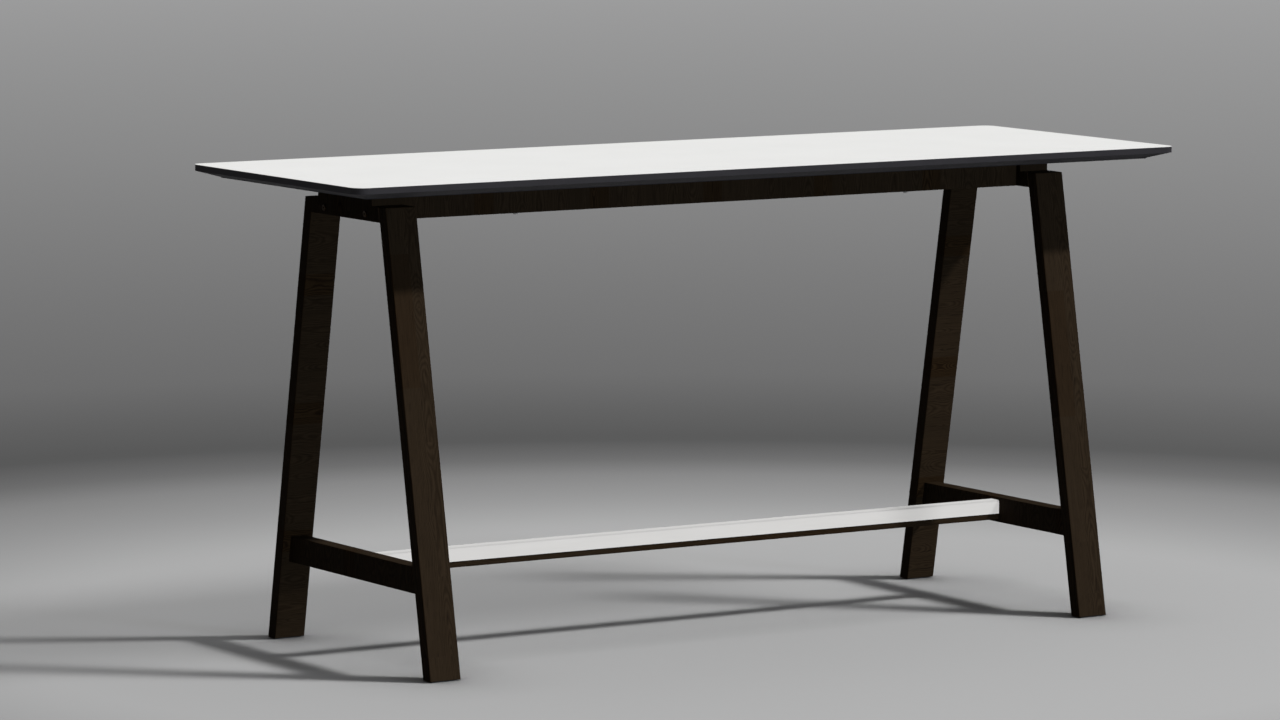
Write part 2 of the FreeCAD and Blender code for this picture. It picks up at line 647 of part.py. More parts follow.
def cam_model():
    """Cam along +Z from zero: a radial bore from the +X side takes the pin, a slot below takes the driver."""
    body = new_body("cam")
    pad(body, regular_outline(new_sketch(body, "XY_Plane"), "(sizes.cam_size / 2)", HEAD_SIDES), CAM_HEIGHT)
    socket = new_sketch(body, "YZ_Plane", "sizes.cam_size / 2", "sizes.cam_pin_height")
    regular_outline(socket, "(sizes.cam_pin_size / 2 + sizes.fit_gap)", SHANK_SIDES)
    pocket(body, socket, "(sizes.cam_size / 2 + sizes.cam_pin_past_axis + sizes.fit_gap)")
    half_width = "(sizes.cam_slot_width / 2)"
    slot = rectangle(new_sketch(body, "XY_Plane"), "sizes.cam_size", f"-{half_width}", half_width)
    pocket(body, slot, "sizes.cam_slot_depth", reverse=True)
    return body


def cam_pin_model():
    """Pin along +Z: the end that is screwed into the cross rail from zero, then a plain shank."""
    body = new_body("cam_pin")
    thread = regular_outline(new_sketch(body, "XY_Plane"), "(sizes.cam_pin_thread / 2)", SHANK_SIDES)
    pad(body, thread, "sizes.cam_pin_depth")
    shank = regular_outline(
        new_sketch(body, "XY_Plane", "sizes.cam_pin_depth"), "(sizes.cam_pin_size / 2)", SHANK_SIDES)
    pad(body, shank, f"({CAM_PIN_LENGTH} - sizes.cam_pin_depth)")
    return body


def screw_model():
    """Wood screw along +Z: a hexagon head below zero, the shank above."""
    body = new_body("top_screw")
    head = hexagon(new_sketch(body, "XY_Plane", "-sizes.screw_head_height"), "sizes.screw_head")
    pad(body, head, "sizes.screw_head_height")
    shank = regular_outline(new_sketch(body, "XY_Plane"), "(sizes.screw_size / 2)", SHANK_SIDES)
    pad(body, shank, f"(sizes.apron_height + {SCREW_BITE})")
    return body


def make_rail_fixings():
    """Bolt, barrel nut and dowel at each end of each long rail."""
    ends = [(side, across) for side in (LEFT, RIGHT) for across in (FRONT, REAR)]
    bolt_level = f"({RAIL_BOTTOM} + sizes.rail_bolt_height)"
    group("rail_bolts", rail_bolt_model(), [
        {"x": signed(side, FRAME_END), "y": signed(across, LONG_RAIL_MIDDLE), "z": bolt_level,
         "axis": ACROSS, "angle": str(-90 * side)} for side, across in ends])
    group("rail_barrel_nuts", barrel_nut_model(), [
        {"x": signed(side, NUT_PLACE), "y": signed(across, LONG_RAIL_MIDDLE), "z": bolt_level,
         "axis": ALONG, "angle": str(90 * across)} for side, across in ends])
    dowel = dowel_model()
    dowel_level = f"({RAIL_BOTTOM} + sizes.rail_dowel_height)"
    group("rail_dowels", dowel, [
        {"x": signed(side, f"({LONG_RAIL_END} + sizes.dowel_length / 2)"),
         "y": signed(across, LONG_RAIL_MIDDLE), "z": dowel_level,
         "axis": ACROSS, "angle": str(-90 * side)} for side, across in ends])
    group("footrest_dowels", dowel, [
        {"x": signed(side, f"({BEAM_END} + sizes.dowel_length / 2)"),
         "z": f"({BEAM_BOTTOM} + {FOOTREST_DOWEL_HEIGHT})",
         "axis": ACROSS, "angle": str(-90 * side)} for side in (LEFT, RIGHT)])


def make_leg_tenons(label, joint, tenon):
    """A tenon in each joint, square to the inner face of the leg and begun inside the leg."""
    away = f"({inner_face(joint)} + sizes.tenon_depth * cos({LEAN}))"
    group(label, tenon_model(f"{label}_model", tenon), [
        {"x": signed(side, FRAME_MIDDLE), "y": signed(across, away),
         "z": f"({joint} + sizes.tenon_depth * sin({LEAN}))",
         "axis": ALONG, "angle": signed(across, f"(90 + {LEAN})")}
        for side in (LEFT, RIGHT) for across in (FRONT, REAR)])


def make_footrest_fixings():
    """A pin in each lower cross rail, pulled in by a cam in the underside of the beam."""
    group("footrest_cams", cam_model(), [
        {"x": signed(side, CAM_PLACE), "z": BEAM_BOTTOM, "angle": half_turn(-side)}
        for side in (LEFT, RIGHT)])
    group("footrest_cam_pins", cam_pin_model(), [
        {"x": signed(side, f"({BEAM_END} + sizes.cam_pin_depth)"),
         "z": f"({BEAM_BOTTOM} + sizes.cam_pin_height)",
         "axis": ACROSS, "angle": str(-90 * side)} for side in (LEFT, RIGHT)])


def make_top_screws():
    """Screws up through the long rails into the board."""
    group("top_screws", screw_model(), [{"x": x, "y": y, "z": RAIL_BOTTOM} for x, y in screw_places()])


SIDE_NAMES = {LEFT: "left", RIGHT: "right"}
ACROSS_NAMES = {FRONT: "front", REAR: "rear"}

make_top_laminate()
make_top_core()
make_top_backing()
for across, across_name in ACROSS_NAMES.items():
    make_long_rail(f"long_rail_{across_name}", across)
    for side, side_name in SIDE_NAMES.items():
        make_leg(f"leg_{across_name}_{side_name}", side, across)
        make_glide(f"glide_{across_name}_{side_name}", side, across)
for side, side_name in SIDE_NAMES.items():
    make_upper_cross_rail(f"upper_cross_rail_{side_name}", side)
    make_lower_cross_rail(f"lower_cross_rail_{side_name}", side)
make_footrest_beam()
make_footrest_cap()
make_rail_fixings()
make_leg_tenons("upper_tenons", UPPER_JOINT, UPPER_TENON)
make_leg_tenons("lower_tenons", LOWER_JOINT, LOWER_TENON)
make_footrest_fixings()
make_top_screws()

doc.recompute()
for thing in doc.Objects:
    if "Invalid" in thing.State or "Error" in thing.State:
        raise RuntimeError(f"{thing.Label} failed: {thing.State}")
for piece in subparts:
    if piece.Shape.isNull() or not piece.Shape.isValid():
        raise RuntimeError(f"{piece.Label} has no sound shape")

os.makedirs("parts", exist_ok=True)
for piece in subparts:
    piece.Shape.exportStep(f"parts/{piece.Label}.step")
    print(piece.Label, len(piece.Shape.Solids), round(piece.Shape.Volume))
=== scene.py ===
import math

import bmesh
import bpy
from mathutils import Euler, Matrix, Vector


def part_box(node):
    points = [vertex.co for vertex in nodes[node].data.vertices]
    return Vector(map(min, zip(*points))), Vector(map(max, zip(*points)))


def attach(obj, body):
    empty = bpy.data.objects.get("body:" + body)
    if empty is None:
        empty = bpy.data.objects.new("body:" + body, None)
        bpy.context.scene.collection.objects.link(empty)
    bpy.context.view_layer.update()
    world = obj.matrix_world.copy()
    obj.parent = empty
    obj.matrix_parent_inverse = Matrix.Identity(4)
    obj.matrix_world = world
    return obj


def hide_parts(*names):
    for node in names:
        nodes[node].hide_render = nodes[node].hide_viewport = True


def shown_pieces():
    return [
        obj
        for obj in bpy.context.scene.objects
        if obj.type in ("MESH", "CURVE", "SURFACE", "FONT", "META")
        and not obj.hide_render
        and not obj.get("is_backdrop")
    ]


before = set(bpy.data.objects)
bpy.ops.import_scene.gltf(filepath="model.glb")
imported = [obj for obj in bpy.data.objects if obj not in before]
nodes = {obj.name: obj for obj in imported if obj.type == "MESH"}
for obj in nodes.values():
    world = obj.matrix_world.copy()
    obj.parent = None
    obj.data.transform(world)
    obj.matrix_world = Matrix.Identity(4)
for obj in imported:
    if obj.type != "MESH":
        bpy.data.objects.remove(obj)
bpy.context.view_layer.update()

# High table: white laminate top with an undercut dark edge, dark stained oak frame, white capped footrest.
# Metres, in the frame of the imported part: +Z up, +X along the table, the floor at zero.

MM = 0.001
ROWS = ("front", "rear")
SIDES = ("left", "right")


# Shader helpers

def new_material(name):
    """Empty material with a Principled shader; gives its tree and the shader."""
    material = bpy.data.materials.new(name)
    material.use_nodes = True
    tree = material.node_tree
    return material, tree, tree.nodes["Principled BSDF"]


def add(tree, kind, settings=None, **inputs):
    """Node with its settings and its unlinked inputs, or inputs that come from another node's output."""
    node = tree.nodes.new(kind)
    for key, value in (settings or {}).items():
        setattr(node, key, value)
    for key, value in inputs.items():
        feed(tree, node, key.replace("_", " "), value)
    return node


def feed(tree, node, socket, value):
    """Links an output to the input, or sets the input to a value."""
    target = node.inputs[socket]
    if isinstance(value, bpy.types.NodeSocket):
        tree.links.new(value, target)
    else:
        target.default_value = value


def ramp(tree, factor, stops):
    """Colour ramp with stops given as pairs of place and grey level or colour."""
    node = add(tree, "ShaderNodeValToRGB", Fac=factor)
    elements = node.color_ramp.elements
    while len(elements) < len(stops):
        elements.new(0.5)
    for element, (place, tone) in zip(elements, stops):
        element.position = place
        element.color = (tone, tone, tone, 1) if isinstance(tone, float) else (*tone, 1)
    return node.outputs["Color"]


def object_point(tree, location=(0, 0, 0), rotation=(0, 0, 0), scale=(1, 1, 1)):
    """Object coordinates, turned and moved onto a piece."""
    coordinates = add(tree, "ShaderNodeTexCoord")
    return mapped(tree, coordinates.outputs["Object"], location, rotation, scale)


def mapped(tree, vector, location=(0, 0, 0), rotation=(0, 0, 0), scale=(1, 1, 1)):
    """Vector that is scaled, turned and then moved."""
    node = add(tree, "ShaderNodeMapping", Vector=vector)
    node.inputs["Location"].default_value = location
    node.inputs["Rotation"].default_value = rotation
    node.inputs["Scale"].default_value = scale
    return node.outputs["Vector"]


def noise(tree, vector, scale, detail=3.0, roughness=0.5, output="Fac"):
    """Cloudy noise, as a grey level or as a colour."""
    node = add(tree, "ShaderNodeTexNoise", Vector=vector, Scale=scale, Detail=detail, Roughness=roughness)
    return node.outputs[output]


def blended(tree, factor, first, second, kind="MIX"):
    """Colour mix of two colours or outputs."""
    node = add(tree, "ShaderNodeMix", {"data_type": "RGBA", "blend_type": kind})
    for number, value in ((0, factor), (6, first), (7, second)):
        feed(tree, node, number, value)
    return node.outputs[2]


def pushed(tree, vector, push, reach):
    """Vector moved by a random colour times its reach."""
    node = add(tree, "ShaderNodeVectorMath", {"operation": "MULTIPLY_ADD"})
    for number, value in enumerate((push, reach, vector)):
        feed(tree, node, number, value)
    return node.outputs["Vector"]


def wrapped(tree, value, start, length):
    """Value brought back to the stretch of the given length that begins at start."""
    node = add(tree, "ShaderNodeMath", {"operation": "WRAP"})
    for number, bound in enumerate((value, start + length, start)):
        feed(tree, node, number, bound)
    return node.outputs["Value"]


def bumped(tree, height, strength, distance):
    """Normal of a face with a fine relief."""
    node = add(tree, "ShaderNodeBump", Height=height, Strength=strength, Distance=distance)
    return node.outputs["Normal"]


# Stained oak

RING_WIDTH = 2.3 * MM
# A ring-shaped wave repeats once for each 2 pi / 20 of its scaled radius.
RING_SCALE = 2 * math.pi / 20 / RING_WIDTH
OAK_DARK = (0.0235, 0.0147, 0.0078)
OAK_LIGHT = (0.0357, 0.0230, 0.0126)

# Share of a stave by which the next row of staves is staggered, and shift of all rows from member to member
STAVE_STAGGER = 0.41
STAVE_SHIFT = 0.16
# Length of trunk that the staves of one member come from, and length of trunk from one member to the next
TRUNK_LENGTH = 0.9
TRUNK_STEP = 1.7

# Where the pith lies in the staves: how far behind the middle of the thickness, how far it strays
# from stave to stave across the face and into it, how many swells it has in a metre, and how far
# these bring it to the face
OWN_PITH = {"behind": -15 * MM, "stray": (26 * MM, 60 * MM), "swells": 9.0, "sweep": 34 * MM}
SHARED_PITH = {"behind": 4 * MM, "stray": (12 * MM, 12 * MM), "swells": 5.5, "sweep": 62 * MM}
PITH_SWAY = 6 * MM
RING_RIPPLE = 3.5 * MM

# Stain from the darkest stave to the palest, which has none, for staves with one pith or with their own
UNSTAINED = (1.0, 1.0, 1.0)
SHARED_PITH_STAIN = (
    (0.0, (0.86, 0.77, 0.66)), (0.18, (0.90, 0.84, 0.77)), (0.24, (0.94, 0.93, 0.92)), (1.0, UNSTAINED))
OWN_PITH_STAIN = ((0.0, (0.86, 0.87, 0.88)), (1.0, UNSTAINED))
# Of the staves with their own pith, one in so many is dark: its stain from the dark to the pale of a ring
STAVES_TO_A_DARK_ONE = 6
DARK_STAVE_STAIN = ((0.0, (0.60, 0.51, 0.40)), (0.6, (0.86, 0.77, 0.62)), (1.0, (0.92, 0.82, 0.66)))


def stave_chance(tree, apart, seed, stave_width, stave_length, joint):
    """Random value and colour that stay the same all over one stave."""
    plan = add(tree, "ShaderNodeCombineXYZ", X=apart.outputs["Z"], Y=apart.outputs["X"], Z=seed)
    plan = mapped(tree, plan.outputs["Vector"], location=(STAVE_SHIFT * seed, -joint, 0))
    staves = add(
        tree, "ShaderNodeTexBrick", {"offset": STAVE_STAGGER},
        Vector=plan, Color1=(0, 0, 0, 1), Color2=(1, 1, 1, 1), Mortar=(0.5, 0.5, 0.5, 1),
        Scale=1.0, Mortar_Size=0.0, Brick_Width=stave_length, Row_Height=stave_width)
    return add(tree, "ShaderNodeTexWhiteNoise", {"noise_dimensions": "1D"}, W=staves.outputs["Color"])


def ring_figure(tree, origin, chance, seed, centre, pith):
    """Place in the trunk that each point of the staves was cut from, and the growth rings there."""
    across, inward = pith["stray"]
    sweep = pith["sweep"]
    # Each stave was cut somewhere else along the trunk, and a little nearer to its pith or further off.
    cut = pushed(tree, origin, chance.outputs["Color"], (across, -inward, TRUNK_LENGTH))
    trunk = mapped(
        tree, cut, location=(-centre - across / 2, -pith["behind"] + inward / 2, TRUNK_STEP * seed))
    # The pith wanders to the face and back, so that the rings close to long eyes along the face.
    swell = noise(
        tree, mapped(tree, trunk, scale=(0.3, 0.3, 1)), scale=pith["swells"], detail=1.0, roughness=0.4,
        output="Color")
    level = mapped(tree, trunk, location=(-PITH_SWAY / 2, -sweep / 2, 0))
    swayed = pushed(tree, level, swell, (PITH_SWAY, sweep, 0.0))
    ripple = noise(
        tree, mapped(tree, trunk, scale=(1, 1, 0.3)), scale=70.0, detail=2.0, roughness=0.5, output="Color")
    rings = add(
        tree, "ShaderNodeTexWave",
        {"wave_type": "RINGS", "rings_direction": "Z", "wave_profile": "SIN"},
        Vector=pushed(tree, swayed, ripple, (RING_RIPPLE, RING_RIPPLE, 0.0)), Scale=RING_SCALE)
    return trunk, ramp(tree, rings.outputs["Fac"], ((0.0, 0.0), (0.45, 0.55), (0.8, 0.9), (1.0, 1.0)))


def own_pith_stain(tree, apart, chance, growth, stave_width, joint):
    """Stain of staves with their own pith, with the dark staves evenly spaced among them."""
    place = wrapped(tree, apart.outputs["X"], joint, STAVES_TO_A_DARK_ONE * stave_width)
    dark = add(tree, "ShaderNodeMath", {"operation": "LESS_THAN"})
    feed(tree, dark, 0, place)
    feed(tree, dark, 1, joint + stave_width)
    even = ramp(tree, chance.outputs["Value"], OWN_PITH_STAIN)
    return blended(tree, dark.outputs["Value"], even, ramp(tree, growth, DARK_STAVE_STAIN))


def stained_oak(node, turn, seed, stave_width, stave_length, joint, pith=None):
    """Dark brown stained oak, glued up from staves that each have a figure and a tone of their own.

    turn brings the grain to Z, and to X the way across it on the face that shows. A glue joint runs along
    the grain at joint. All staves have one pith, behind the face at pith, or each has a pith of its own.
    """
    material, tree, shader = new_material(f"stained_oak_{node}")
    low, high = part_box(node)
    middle = Euler(turn).to_matrix() @ ((low + high) / 2)
    board = object_point(tree, location=-middle, rotation=turn)
    apart = add(tree, "ShaderNodeSeparateXYZ", Vector=board)
    chance = stave_chance(tree, apart, seed, stave_width, stave_length, joint)
    if pith is None:
        within = wrapped(tree, apart.outputs["X"], joint, stave_width)
        stave = add(tree, "ShaderNodeCombineXYZ", X=within, Y=apart.outputs["Y"], Z=apart.outputs["Z"])
        centre = joint + stave_width / 2
        trunk, growth = ring_figure(tree, stave.outputs["Vector"], chance, seed, centre, OWN_PITH)
        stain = own_pith_stain(tree, apart, chance, growth, stave_width, joint)
    else:
        trunk, growth = ring_figure(tree, board, chance, seed, pith, SHARED_PITH)
        stain = ramp(tree, chance.outputs["Value"], SHARED_PITH_STAIN)
    fibre = noise(tree, mapped(tree, trunk, scale=(1, 1, 0.03)), scale=430.0, detail=4.0, roughness=0.65)
    vessels = noise(tree, mapped(tree, trunk, scale=(1, 1, 0.05)), scale=520.0, detail=2.0, roughness=0.5)
    pores = ramp(tree, vessels, ((0.33, 0.0), (0.42, 1.0)))
    tone = blended(tree, growth, (*OAK_DARK, 1), (*OAK_LIGHT, 1))
    tone = blended(tree, 0.50, tone, ramp(tree, fibre, ((0.30, 0.45), (0.70, 1.0))), "MULTIPLY")
    tone = blended(tree, 0.35, tone, pores, "MULTIPLY")
    tone = blended(tree, 1.0, tone, stain, "MULTIPLY")
    feed(tree, shader, "Base Color", tone)
    feed(tree, shader, "Roughness", ramp(tree, fibre, ((0.2, 0.72), (0.8, 0.58))))
    feed(tree, shader, "Specular IOR Level", 0.02)
    relief = blended(tree, 0.5, growth, pores, "MULTIPLY")
    feed(tree, shader, "Normal", bumped(tree, relief, strength=0.22, distance=0.2 * MM))
    return material


# Other finishes

def white_laminate():
    """Matt white laminate with a fine pearl texture."""
    material, tree, shader = new_material("white_laminate")
    place = object_point(tree)
    pearl = noise(tree, place, scale=1400.0, detail=2.0, roughness=0.5)
    cloud = noise(tree, place, scale=6.0, detail=2.0, roughness=0.5)
    tone = ramp(tree, cloud, ((0.3, (0.905, 0.904, 0.886)), (0.7, (0.925, 0.924, 0.907))))
    tone = blended(tree, 0.05, tone, ramp(tree, pearl, ((0.35, 0.75), (0.65, 1.0))), "MULTIPLY")
    feed(tree, shader, "Base Color", tone)
    feed(tree, shader, "Roughness", ramp(tree, pearl, ((0.3, 0.62), (0.7, 0.52))))
    feed(tree, shader, "Specular IOR Level", 0.10)
    feed(tree, shader, "Normal", bumped(tree, pearl, strength=0.12, distance=0.05 * MM))
    return material


def dark_board(name, dark, light, rough):
    """Dyed fibreboard with a clear lacquer: short pressed fibres that lie level, in a cool dark grey."""
    material, tree, shader = new_material(name)
    fibres = noise(tree, object_point(tree, scale=(1, 1, 5)), scale=420.0, detail=4.0, roughness=0.6)
    cloud = noise(tree, object_point(tree, scale=(1, 1, 2)), scale=18.0, detail=3.0, roughness=0.5)
    tone = ramp(tree, fibres, ((0.3, dark), (0.7, light)))
    tone = blended(tree, 0.35, tone, ramp(tree, cloud, ((0.3, 0.7), (0.7, 1.0))), "MULTIPLY")
    feed(tree, shader, "Base Color", tone)
    feed(tree, shader, "Roughness", ramp(tree, fibres, ((0.3, rough + 0.06), (0.7, rough - 0.06))))
    feed(tree, shader, "Specular IOR Level", 0.02)
    feed(tree, shader, "Normal", bumped(tree, fibres, strength=0.15, distance=0.1 * MM))
    return material


def white_cap():
    """White powder coat on folded sheet, with a slight orange peel."""
    material, tree, shader = new_material("white_powder_coat")
    peel = noise(tree, object_point(tree), scale=320.0, detail=2.0, roughness=0.45)
    scuff = noise(tree, object_point(tree, scale=(0.15, 1, 1)), scale=60.0, detail=4.0, roughness=0.6)
    tone = ramp(tree, scuff, ((0.3, (0.735, 0.728, 0.715)), (0.7, (0.760, 0.753, 0.742))))
    feed(tree, shader, "Base Color", tone)
    feed(tree, shader, "Roughness", ramp(tree, scuff, ((0.3, 0.54), (0.7, 0.46))))
    feed(tree, shader, "Specular IOR Level", 0.02)
    feed(tree, shader, "Normal", bumped(tree, peel, strength=0.10, distance=0.06 * MM))
    return material


def plated_steel(name, dark, light, rough):
    """Turned and plated steel with faint tool marks."""
    material, tree, shader = new_material(name)
    marks = noise(tree, object_point(tree), scale=1900.0, detail=3.0, roughness=0.6)
    cloud = noise(tree, object_point(tree), scale=160.0, detail=2.0, roughness=0.5)
    tone = ramp(tree, cloud, ((0.3, dark), (0.7, light)))
    feed(tree, shader, "Base Color", tone)
    feed(tree, shader, "Metallic", 1.0)
    feed(tree, shader, "Roughness", ramp(tree, marks, ((0.3, rough + 0.08), (0.7, rough - 0.08))))
    feed(tree, shader, "Normal", bumped(tree, marks, strength=0.10, distance=0.04 * MM))
    return material


def bare_beech():
    """Pale beech of the dowels and loose tenons, with short flecks."""
    material, tree, shader = new_material("bare_beech")
    flecks = noise(tree, object_point(tree, scale=(0.4, 1, 1)), scale=900.0, detail=3.0, roughness=0.6)
    tone = ramp(tree, flecks, ((0.35, (0.42, 0.27, 0.16)), (0.65, (0.58, 0.41, 0.26))))
    feed(tree, shader, "Base Color", tone)
    feed(tree, shader, "Roughness", ramp(tree, flecks, ((0.3, 0.75), (0.7, 0.60))))
    feed(tree, shader, "Normal", bumped(tree, flecks, strength=0.2, distance=0.1 * MM))
    return material


def black_glide():
    """Hard moulded plastic with a fine spark-eroded grain."""
    material, tree, shader = new_material("black_glide")
    grain = noise(tree, object_point(tree), scale=1600.0, detail=2.0, roughness=0.5)
    tone = ramp(tree, grain, ((0.3, (0.012, 0.012, 0.012)), (0.7, (0.024, 0.024, 0.025))))
    feed(tree, shader, "Base Color", tone)
    feed(tree, shader, "Roughness", ramp(tree, grain, ((0.3, 0.62), (0.7, 0.50))))
    feed(tree, shader, "Normal", bumped(tree, grain, strength=0.2, distance=0.06 * MM))
    return material


# Which piece has which finish

LEG_LEAN = math.radians(10.5)
UPRIGHT = math.pi / 2


def dress(names, material):
    """Gives CAD nodes a material in place of the one that they were packed with."""
    for name in names:
        slots = nodes[name].data.materials
        slots.clear()
        slots.append(material)


def dress_wood():
    """Grain along the front legs and the beam; staves and grain across all other members."""
    # Turn of the member, then in mm the width and length of its staves, a glue joint,
    # and the pith if the staves share it
    front_leg = ((LEG_LEAN, 0, 0), 42.6, 270, 7.1, 19)
    rear_leg = ((-LEG_LEAN, UPRIGHT, 0), 46.1, 900, -8)
    long_rail = ((0, 0, 0), 46.0, 900, -34)
    cross_rail = ((0, 0, -UPRIGHT), 46.0, 900, 0)
    beam = ((0, -UPRIGHT, 0), 40.8, 270, 20.4, 0)
    members = {
        "leg_front_left": front_leg,
        "leg_front_right": front_leg,
        "leg_rear_left": rear_leg,
        "leg_rear_right": rear_leg,
        "long_rail_front": long_rail,
        "long_rail_rear": long_rail,
        "upper_cross_rail_left": cross_rail,
        "upper_cross_rail_right": cross_rail,
        "lower_cross_rail_left": cross_rail,
        "lower_cross_rail_right": cross_rail,
        "footrest_beam": beam,
    }
    for seed, (node, (turn, *lengths)) in enumerate(members.items(), start=1):
        dress((node,), stained_oak(node, turn, seed, *[length * MM for length in lengths]))


dress_wood()
dark_edge = dark_board("dark_edge", dark=(0.033, 0.032, 0.035), light=(0.045, 0.0437, 0.0477), rough=0.60)
dark_backing = dark_board(
    "dark_backing", dark=(0.030, 0.030, 0.033), light=(0.040, 0.040, 0.044), rough=0.55)
zinc = plated_steel("zinc_steel", dark=(0.50, 0.50, 0.51), light=(0.62, 0.62, 0.63), rough=0.34)
bronze = plated_steel("bronzed_steel", dark=(0.033, 0.019, 0.009), light=(0.050, 0.030, 0.014), rough=0.45)
dress(("top_laminate",), white_laminate())
dress(("top_core",), dark_edge)
dress(("top_backing",), dark_backing)
dress(("footrest_cap",), white_cap())
dress(("rail_barrel_nuts", "footrest_cams", "footrest_cam_pins", "top_screws"), zinc)
dress(("rail_bolts",), bronze)
dress(("rail_dowels", "footrest_dowels", "upper_tenons", "lower_tenons"), bare_beech())
dress([f"glide_{across}_{side}" for across in ROWS for side in SIDES], black_glide())


# Rail bolts, modelled along Z: the seat of the head at zero, the face of the head above it

BOLT_HEAD_RADIUS = 6.5 * MM
BOLT_HEAD_HEIGHT = 2.5 * MM
BOLT_RIM_ROUNDING = 0.8 * MM
BOLT_SIDES = 64
BOLT_RADIUS = 3.0 * MM
BOLT_LENGTH = 101.0 * MM
BOLT_TIP_BEVEL = 0.6 * MM
SOCKET_ACROSS_FLATS = 4.0 * MM
SOCKET_DEPTH = 3.0 * MM
SOCKET_BEVEL = 0.3 * MM
SMOOTH_BELOW = math.radians(35)
# Corners that are this close to a level lie on it.
LEVEL_SLACK = 0.01 * MM


def begin():
    """Leaves nothing selected, so that the next operator acts on the new piece alone."""
    bpy.ops.object.select_all(action="DESELECT")


def pick(kind, wanted):
    """In edit mode, selects the faces or edges for which wanted() is true, and nothing else."""
    bpy.ops.mesh.select_mode(type=kind)
    bpy.ops.mesh.select_all(action="DESELECT")
    mesh = bmesh.from_edit_mesh(bpy.context.object.data)
    for element in (mesh.faces if kind == "FACE" else mesh.edges):
        element.select_set(wanted(element))
    mesh.select_flush_mode()
    bmesh.update_edit_mesh(bpy.context.object.data)


def ends(edge):
    """Places of the two ends of an edge."""
    return [corner.co for corner in edge.verts]


def cut_out(piece, cutter):
    """Takes the shape of the cutter out of the piece, and deletes the cutter."""
    begin()
    bpy.context.view_layer.objects.active = piece
    piece.select_set(True)
    cut = piece.modifiers.new("cut", "BOOLEAN")
    cut.operation = "DIFFERENCE"
    cut.object = cutter
    bpy.ops.object.modifier_apply(modifier=cut.name)
    bpy.data.objects.remove(cutter)


def rail_bolt():
    """Bronzed connector bolt: flat head with a rounded rim and a hexagon socket, and a plain shank."""
    face = BOLT_HEAD_HEIGHT
    begin()
    bpy.ops.mesh.primitive_cylinder_add(
        vertices=BOLT_SIDES, radius=BOLT_HEAD_RADIUS, depth=BOLT_HEAD_HEIGHT, location=(0, 0, face / 2))
    bolt = bpy.context.object
    bpy.ops.object.transform_apply(location=True)
    bpy.ops.object.mode_set(mode="EDIT")
    pick("FACE", lambda side: side.normal.z < -0.9)
    bpy.ops.mesh.inset(thickness=BOLT_HEAD_RADIUS - BOLT_RADIUS)
    bpy.ops.mesh.extrude_region_move(TRANSFORM_OT_translate={"value": (0, 0, BOLT_TIP_BEVEL - BOLT_LENGTH)})
    bpy.ops.mesh.inset(thickness=BOLT_TIP_BEVEL)
    bpy.ops.transform.translate(value=(0, 0, -BOLT_TIP_BEVEL))
    bpy.ops.object.mode_set(mode="OBJECT")
    begin()
    socket_radius = SOCKET_ACROSS_FLATS / math.sqrt(3)
    bpy.ops.mesh.primitive_cylinder_add(
        vertices=6, radius=socket_radius, depth=2 * SOCKET_DEPTH, location=(0, 0, face))
    cut_out(bolt, bpy.context.object)
    bpy.ops.object.mode_set(mode="EDIT")
    pick("EDGE", lambda edge: all(
        abs(end.z - face) < LEVEL_SLACK and end.xy.length > 0.9 * BOLT_HEAD_RADIUS for end in ends(edge)))
    bpy.ops.mesh.bevel(offset=BOLT_RIM_ROUNDING, segments=4, affect="EDGES")
    pick("EDGE", lambda edge: all(
        abs(end.z - face) < LEVEL_SLACK and end.xy.length < SOCKET_ACROSS_FLATS for end in ends(edge)))
    bpy.ops.mesh.bevel(offset=SOCKET_BEVEL, segments=2, affect="EDGES")
    bpy.ops.object.mode_set(mode="OBJECT")
    bpy.ops.object.shade_smooth_by_angle(angle=SMOOTH_BELOW)
    return bolt


def place_copy(model, name, place, turn):
    """Copy of a model with a mesh of its own, turned and moved for good."""
    piece = model.copy()
    piece.data = model.data.copy()
    piece.name = name
    piece.location = place
    piece.rotation_euler = turn
    bpy.context.scene.collection.objects.link(piece)
    begin()
    bpy.context.view_layer.objects.active = piece
    piece.select_set(True)
    bpy.ops.object.transform_apply(location=True, rotation=True, scale=True)
    return piece


def place_rail_bolts(finish):
    """One bolt through each end of each long rail, the head on the outer face of the end frame."""
    low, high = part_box("rail_bolts")
    seat = high.x - BOLT_HEAD_HEIGHT
    across = high.y - BOLT_HEAD_RADIUS
    level = (low.z + high.z) / 2
    model = rail_bolt()
    model.data.materials.append(finish)
    bolts = []
    for row, y in zip(ROWS, (-across, across)):
        for side, x in zip(SIDES, (-seat, seat)):
            outward = math.copysign(math.pi / 2, x)
            bolts.append(place_copy(model, f"rail_bolt_{row}_{side}", (x, y, level), (0, outward, 0)))
    bpy.data.objects.remove(model)
    for bolt in bolts:
        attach(bolt, "root")
        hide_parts("rail_bolts")


place_rail_bolts(bronze)


# Studio

FLOOR_RADIUS = 90.0
# Painted light and shade in the floor's colour: its tones from the table outwards, in shares of the painted
# pool's reach
PAINTED_POOL_REACH = 25.0
PAINTED_POOL_TONES = (
    (0.060, 0.416), (0.080, 0.310), (0.098, 0.236), (0.110, 0.153), (0.126, 0.099), (0.150, 0.121),
    (0.185, 0.158), (0.280, 0.201), (0.500, 0.306), (1.0, 0.525))
# Reach of the painted shade that darkens the floor's colour where something stands on the floor or close over
# it
PAINTED_SHADE_REACH = 0.25

# Strength, angle across the light, and the side and height that it comes from, in degrees
SUNS = {
    "key": (2.95, 3.0, -43.5, 44.6),
    "front_fill": (0.90, 12.0, -65, 7),
    "rear_fill": (1.6, 40.0, 70, 15),
    "under_fill": (0.72, 60.0, 180, -45),
    "overhead": (0.68, 90.0, -33, 89),
    "cap_front": (2.36, 20.0, -75, -20),
    "cap_top": (2.4, 20.0, 100, 55),
}
